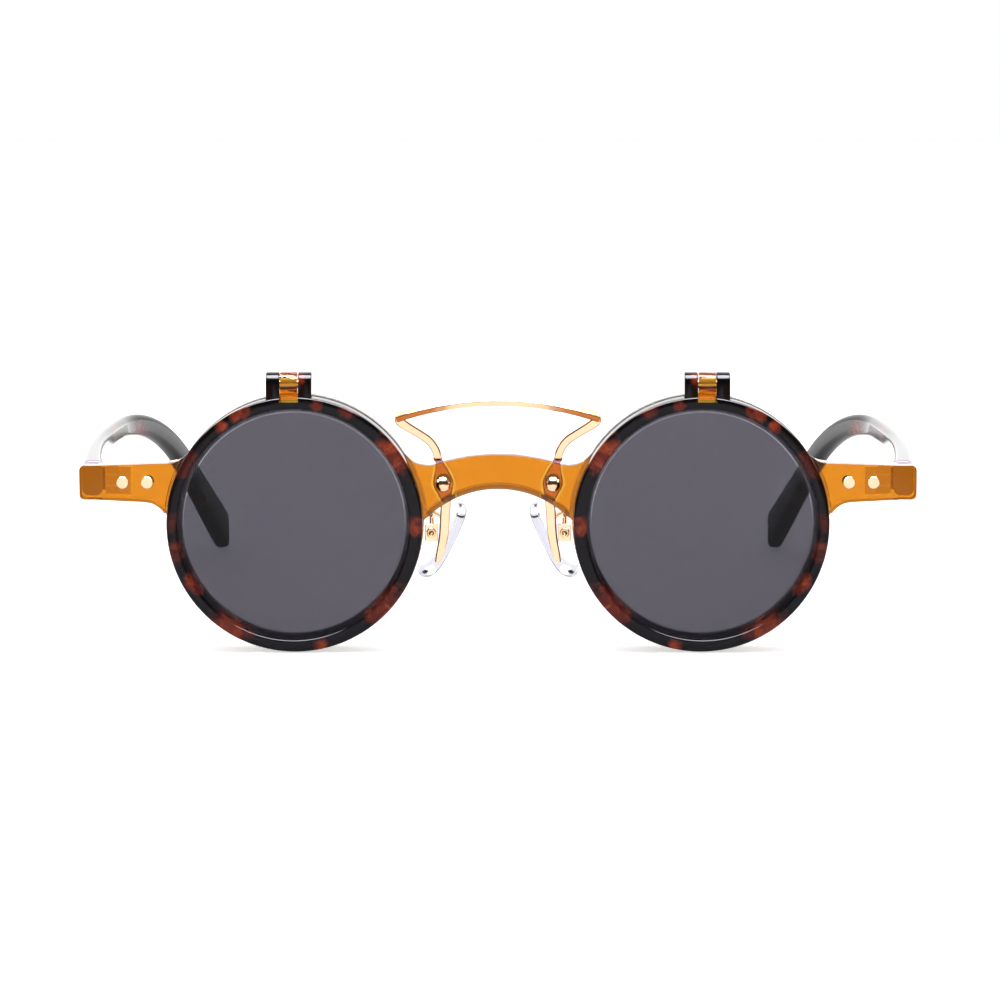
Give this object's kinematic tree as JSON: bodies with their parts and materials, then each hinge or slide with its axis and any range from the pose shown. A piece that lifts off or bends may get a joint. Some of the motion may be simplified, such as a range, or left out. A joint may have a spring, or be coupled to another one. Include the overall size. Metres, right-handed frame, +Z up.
{
  "type": "flip up sunglasses",
  "caption": "Round flip-up sunglasses: clear base front with end pieces and arched bridge, hinged dark rims, metal brow bar, nose pads on wire arms and folding temples.",
  "frame": {"origin": "middle of the bounding box in X and Y, at the lowest point of the glasses in Z", "axes": "+X is the wearer's left, along the width of the front; +Y runs back along the temples, so the front faces -Y; +Z is up"},
  "size_m": [0.1474, 0.1394, 0.0468],
  "materials": {
    "amber_plastic": "polished, see-through amber acetate",
    "tortoise_plastic": "polished dark tortoiseshell acetate",
    "clear_lens": "clear, polished",
    "dark_lens": "dark grey, polished, see-through",
    "gold_metal": "polished pale gold plate",
    "hinge_metal": "satin metal",
    "pad_silicone": "clear soft plastic"
  },
  "bodies": {
    "front": {"front_frame": "amber_plastic", "clear_lens_left": "clear_lens", "clear_lens_right": "clear_lens", "front_hinge_left": "hinge_metal", "front_hinge_right": "hinge_metal", "end_rivets": "gold_metal", "hinge_screws": "hinge_metal", "brow_bar": "gold_metal", "bridge_screws": "gold_metal", "bridge_nuts": "gold_metal", "pad_arm_left": "gold_metal", "pad_arm_right": "gold_metal", "pad_box_left": "gold_metal", "pad_box_right": "gold_metal", "pad_screws": "gold_metal"},
    "flip_left": {"flip_rim_left": "tortoise_plastic", "dark_lens_left": "dark_lens", "flip_pin_left": "gold_metal"},
    "flip_right": {"flip_rim_right": "tortoise_plastic", "dark_lens_right": "dark_lens", "flip_pin_right": "gold_metal"},
    "temple_left": {"temple_left": "tortoise_plastic", "temple_core_left": "hinge_metal", "temple_hinge_left": "hinge_metal"},
    "temple_right": {"temple_right": "tortoise_plastic", "temple_core_right": "hinge_metal", "temple_hinge_right": "hinge_metal"},
    "pad_left": {"pad_core_left": "gold_metal", "nose_pad_left": "pad_silicone"},
    "pad_right": {"pad_core_right": "gold_metal", "nose_pad_right": "pad_silicone"}
  },
  "joints": [
    {"name": "flip_left_hinge", "type": "hinge", "parent": "front", "child": "flip_left", "pos_m": [0.03475, -0.0674, 0.0449], "axis": [-1, 0, 0], "range_deg": [0, 90]},
    {"name": "flip_right_hinge", "type": "hinge", "parent": "front", "child": "flip_right", "pos_m": [-0.03475, -0.0674, 0.0449], "axis": [-1, 0, 0], "range_deg": [0, 90]},
    {"name": "temple_left_hinge", "type": "hinge", "parent": "front", "child": "temple_left", "pos_m": [0.065, -0.0594, 0.0282], "axis": [0, 0, 1], "range_deg": [0, 86]},
    {"name": "temple_right_hinge", "type": "hinge", "parent": "front", "child": "temple_right", "pos_m": [-0.065, -0.0594, 0.0282], "axis": [0, 0, -1], "range_deg": [0, 77]},
    {"name": "pad_left_rock", "type": "hinge", "parent": "front", "child": "pad_left", "pos_m": [0.0113, -0.05805, 0.0189], "axis": [0, 1, 0], "range_deg": [-8, 8]},
    {"name": "pad_right_rock", "type": "hinge", "parent": "front", "child": "pad_right", "pos_m": [-0.0113, -0.05805, 0.0189], "axis": [0, 1, 0], "range_deg": [-8, 8]}
  ]
}
